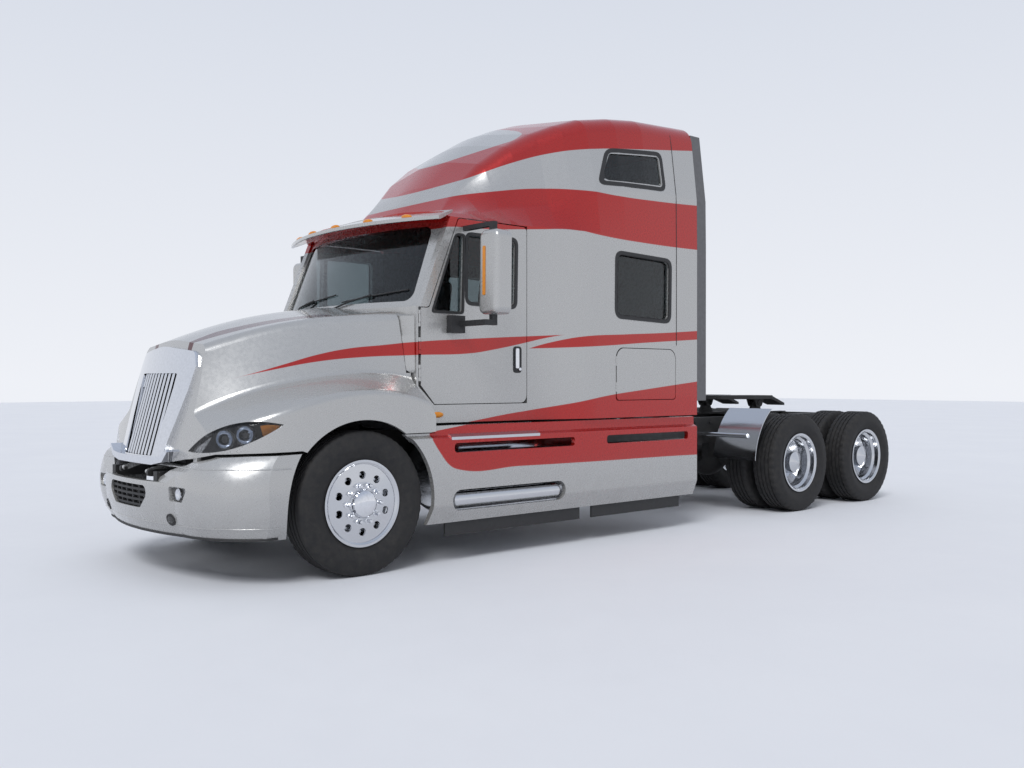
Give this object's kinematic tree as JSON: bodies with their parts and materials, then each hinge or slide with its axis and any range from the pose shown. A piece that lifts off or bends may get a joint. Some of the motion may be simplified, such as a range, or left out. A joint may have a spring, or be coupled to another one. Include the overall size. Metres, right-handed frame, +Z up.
{
  "type": "truck",
  "caption": "Long-nose road tractor with a tall sleeper cab, tilting hood, steered front wheels, twin drive wheels and a coupling plate for a semi-trailer.",
  "frame": {"origin": "on the ground, at the middle of the overall length and width", "axes": "+Z up, -Y to the truck's front, +X to its left side"},
  "size_m": [2.9944, 8.5408, 3.8106],
  "materials": {
    "body_paint": "metallic silver with red bands",
    "chassis_black": "satin",
    "steel": "worn",
    "polished": "polished",
    "tyre": "matt",
    "black_plastic": "matt",
    "grey_trim": "satin",
    "glass": "tinted",
    "lamp": "clear",
    "chrome": "bright",
    "fabric": "woven",
    "red_lamp": "gloss"
  },
  "bodies": {
    "chassis": {"chassis_frame": "chassis_black", "front_axle": "chassis_black", "drive_axles": "chassis_black", "powertrain": "chassis_black", "radiator": "chassis_black", "fuel_tanks": "polished", "bumper": "body_paint", "intake_mesh": "black_plastic", "fog_lamps": "lamp", "cab_floor": "body_paint", "cab_front": "body_paint", "fixed_glass": "glass", "sleeper_sides": "body_paint", "cab_back": "body_paint", "roof_cap": "body_paint", "sun_visor": "body_paint", "side_extenders": "grey_trim", "side_fairings": "body_paint", "steps_and_skirts": "black_plastic", "dashboard": "black_plastic", "steering_wheel": "black_plastic", "seats": "fabric", "fifth_wheel_base": "chassis_black", "quarter_fenders": "polished", "tail_lamps": "red_lamp"},
    "hood": {"hood": "body_paint", "headlamps": "lamp", "arch_liners": "black_plastic", "grille": "chrome"},
    "door_left": {"door_left": "body_paint", "door_glass_left": "glass", "mirror_left": "body_paint"},
    "door_right": {"door_right": "body_paint", "door_glass_right": "glass", "mirror_right": "body_paint"},
    "luggage_door_left": {"luggage_door_left": "body_paint"},
    "luggage_door_right": {"luggage_door_right": "body_paint"},
    "knuckle_left": {"knuckle_left": "chassis_black"},
    "knuckle_right": {"knuckle_right": "chassis_black"},
    "tie_rod": {"tie_rod": "chassis_black"},
    "front_wheel_left": {"front_wheel_left": "polished", "front_tyre_left": "tyre"},
    "front_wheel_right": {"front_wheel_right": "polished", "front_tyre_right": "tyre"},
    "fifth_wheel": {"fifth_wheel_plate": "chassis_black", "kingpin_jaws": "steel"},
    "drive_wheel_1_left": {"drive_wheel_1_left": "polished", "drive_tyres_1_left": "tyre"},
    "drive_wheel_1_right": {"drive_wheel_1_right": "polished", "drive_tyres_1_right": "tyre"},
    "drive_wheel_2_left": {"drive_wheel_2_left": "polished", "drive_tyres_2_left": "tyre"},
    "drive_wheel_2_right": {"drive_wheel_2_right": "polished", "drive_tyres_2_right": "tyre"}
  },
  "joints": [
    {"name": "hood_tilt", "type": "hinge", "parent": "chassis", "child": "hood", "pos_m": [0, -4.195, 0.72], "axis": [1, 0, 0], "range_deg": [0, 60]},
    {"name": "door_left_swing", "type": "hinge", "parent": "chassis", "child": "door_left", "pos_m": [1.05, -2.523, 1.6], "axis": [0, 0, -1], "range_deg": [0, 70]},
    {"name": "door_right_swing", "type": "hinge", "parent": "chassis", "child": "door_right", "pos_m": [-1.05, -2.523, 1.6], "axis": [0, 0, 1], "range_deg": [0, 70]},
    {"name": "luggage_left_swing", "type": "hinge", "parent": "chassis", "child": "luggage_door_left", "pos_m": [1.2, -0.581, 1.4], "axis": [0, 0, -1], "range_deg": [0, 90]},
    {"name": "luggage_right_swing", "type": "hinge", "parent": "chassis", "child": "luggage_door_right", "pos_m": [-1.2, -0.581, 1.4], "axis": [0, 0, 1], "range_deg": [0, 90]},
    {"name": "steer_left", "type": "hinge", "parent": "chassis", "child": "knuckle_left", "pos_m": [0.88, -3.075, 0.5], "axis": [0, 0, 1], "range_deg": [-40, 40]},
    {"name": "steer_right", "type": "hinge", "parent": "chassis", "child": "knuckle_right", "pos_m": [-0.88, -3.075, 0.5], "axis": [0, 0, 1], "range_deg": [-40, 40]},
    {"name": "tie_rod_pivot", "type": "hinge", "parent": "knuckle_left", "child": "tie_rod", "pos_m": [0.88, -2.865, 0.4], "axis": [0, 0, 1], "range_deg": [-40, 40]},
    {"name": "front_left_spin", "type": "hinge", "parent": "knuckle_left", "child": "front_wheel_left", "pos_m": [1.035, -3.075, 0.5], "axis": [1, 0, 0], "continuous": true},
    {"name": "front_right_spin", "type": "hinge", "parent": "knuckle_right", "child": "front_wheel_right", "pos_m": [-1.035, -3.075, 0.5], "axis": [1, 0, 0], "continuous": true},
    {"name": "drive_1_left_spin", "type": "hinge", "parent": "chassis", "child": "drive_wheel_1_left", "pos_m": [0.91, 2.205, 0.5], "axis": [1, 0, 0], "continuous": true},
    {"name": "drive_1_right_spin", "type": "hinge", "parent": "chassis", "child": "drive_wheel_1_right", "pos_m": [-0.91, 2.205, 0.5], "axis": [1, 0, 0], "continuous": true},
    {"name": "drive_2_left_spin", "type": "hinge", "parent": "chassis", "child": "drive_wheel_2_left", "pos_m": [0.91, 3.525, 0.5], "axis": [1, 0, 0], "continuous": true},
    {"name": "drive_2_right_spin", "type": "hinge", "parent": "chassis", "child": "drive_wheel_2_right", "pos_m": [-0.91, 3.525, 0.5], "axis": [1, 0, 0], "continuous": true},
    {"name": "fifth_wheel_tilt", "type": "hinge", "parent": "chassis", "child": "fifth_wheel", "pos_m": [0, 2.625, 1.1], "axis": [1, 0, 0], "range_deg": [-10, 10]}
  ],
  "couplings": [
    {"joint": "steer_right", "follows": "steer_left", "ratio": 1},
    {"joint": "tie_rod_pivot", "follows": "steer_left", "ratio": -1}
  ]
}
